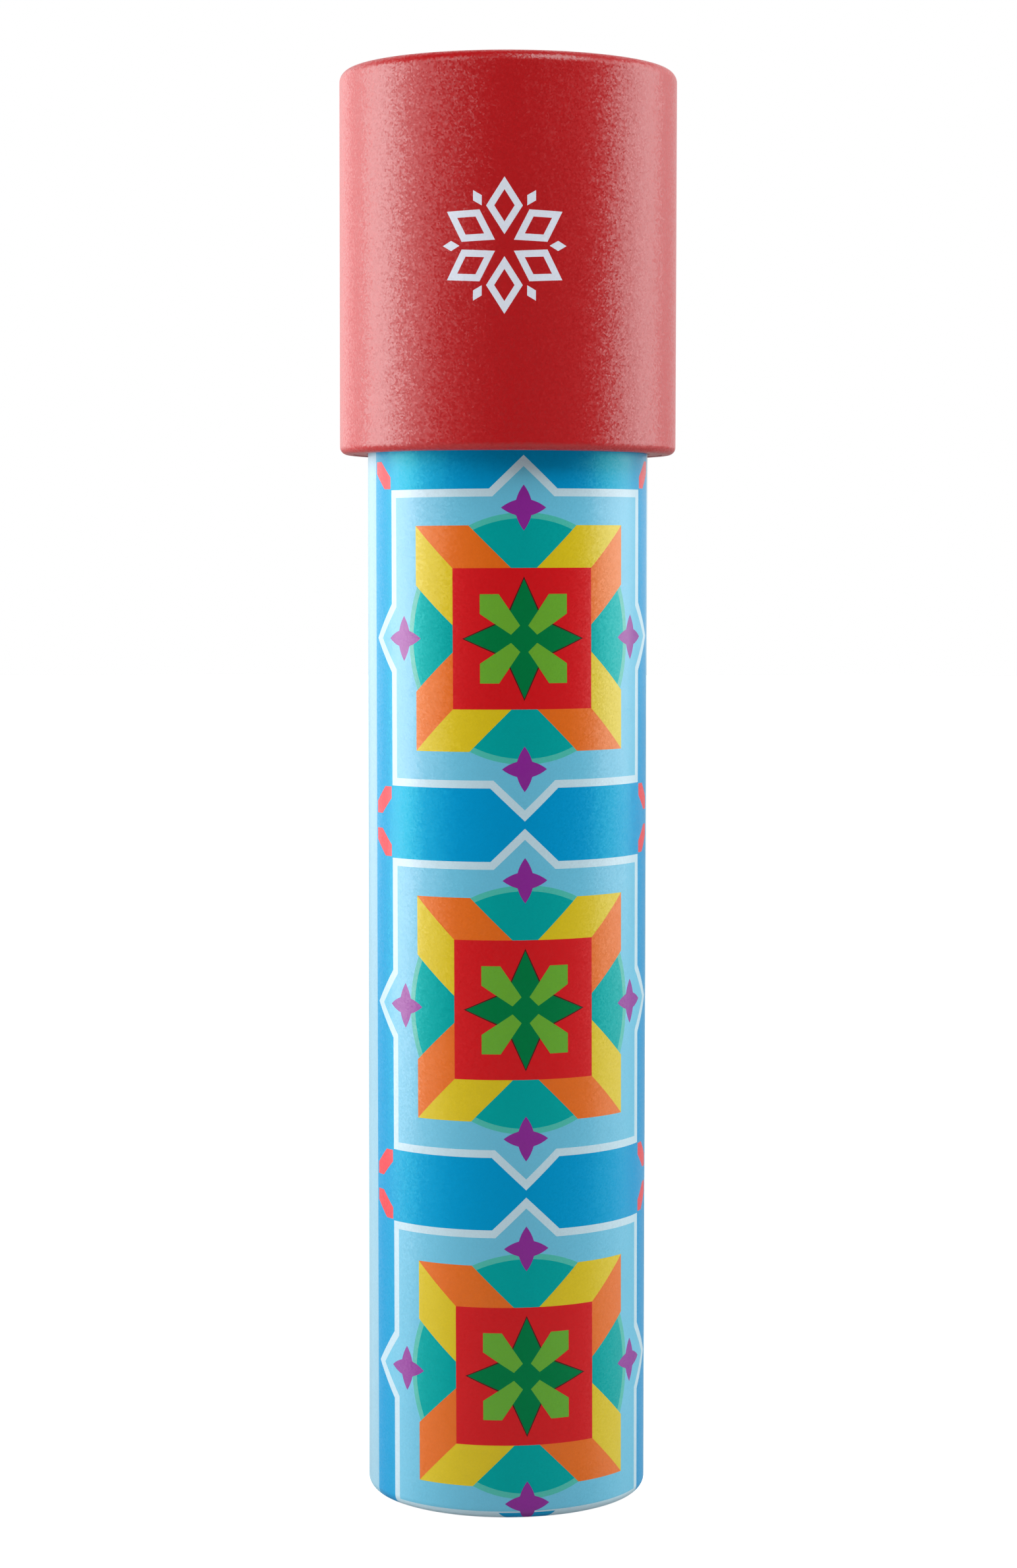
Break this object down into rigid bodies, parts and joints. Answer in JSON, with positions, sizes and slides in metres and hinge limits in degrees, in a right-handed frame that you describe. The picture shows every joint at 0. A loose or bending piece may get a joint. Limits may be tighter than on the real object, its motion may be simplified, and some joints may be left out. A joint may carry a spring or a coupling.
{
  "type": "kaleidoscope",
  "caption": "Toy kaleidoscope: straight tube with printed sleeve, a peephole in its foot, inner mirrors, and a wider turning cap with a chamber of loose charms under a frosted window.",
  "frame": {"origin": "middle of the flat foot ring under the tube, on the tube's axis", "axes": "+Z along the tube from the eyepiece up to the cap, -Y towards the middle of the sleeve's front row of tiles, +X to the viewer's right"},
  "size_m": [0.0518, 0.0518, 0.2198],
  "materials": {
    "sleeve_print": "satin printed film, blue with a geometric pattern",
    "tube_plastic": "smooth moulded, pale",
    "cap_plastic": "satin red moulding with a pearl fleck",
    "eyepiece_plastic": "satin red moulding",
    "clear_plastic": "clear polished sheet",
    "frosted_plastic": "frosted, lets light through",
    "inner_plastic": "plain moulded, white",
    "mirror_strip": "polished first-surface mirror",
    "card": "black card",
    "tape": "buff paper tape",
    "felt": "grey wool felt",
    "charm_red": "clear tinted",
    "charm_green": "clear tinted",
    "charm_orange": "clear tinted",
    "charm_blue": "clear tinted",
    "charm_yellow": "clear tinted",
    "charm_turquoise": "clear tinted",
    "charm_purple": "clear tinted",
    "charm_pink": "clear tinted"
  },
  "bodies": {
    "body": {"body_tube": "tube_plastic", "printed_sleeve": "sleeve_print", "eyepiece_plug": "eyepiece_plastic", "eyepiece_window": "clear_plastic", "window_clip_ring": "inner_plastic", "mirror_strip_1": "mirror_strip", "mirror_strip_2": "mirror_strip", "mirror_strip_3": "mirror_strip", "mirror_card_wrap": "card", "prism_tape_bands": "tape", "lower_prism_holder": "inner_plastic", "upper_prism_holder": "inner_plastic", "tube_window": "clear_plastic", "tube_collar": "inner_plastic", "felt_washer": "felt"},
    "cap": {"cap_shell": "cap_plastic", "cap_liner": "cap_plastic", "chamber_retaining_ring": "inner_plastic", "chamber_window": "clear_plastic", "chamber_wall": "clear_plastic", "diffuser_window": "frosted_plastic"},
    "inner_charms": {"inner_star": "charm_pink", "inner_bead": "charm_green"},
    "middle_charms": {"middle_flowers": "charm_orange", "middle_chips": "charm_blue", "middle_rods": "charm_yellow"},
    "outer_charms": {"outer_stars": "charm_red", "outer_beads": "charm_turquoise", "outer_gems": "charm_purple", "outer_rods": "charm_green"}
  },
  "joints": [
    {"name": "cap_turn", "type": "hinge", "parent": "body", "child": "cap", "pos_m": [0, 0, 0.175], "axis": [0, 0, 1], "continuous": true},
    {"name": "inner_charms_tumble", "type": "hinge", "parent": "cap", "child": "inner_charms", "pos_m": [0, 0, 0.205], "axis": [0, 0, 1], "continuous": true},
    {"name": "middle_charms_tumble", "type": "hinge", "parent": "cap", "child": "middle_charms", "pos_m": [0, 0, 0.205], "axis": [0, 0, 1], "continuous": true},
    {"name": "outer_charms_tumble", "type": "hinge", "parent": "cap", "child": "outer_charms", "pos_m": [0, 0, 0.205], "axis": [0, 0, 1], "continuous": true}
  ]
}
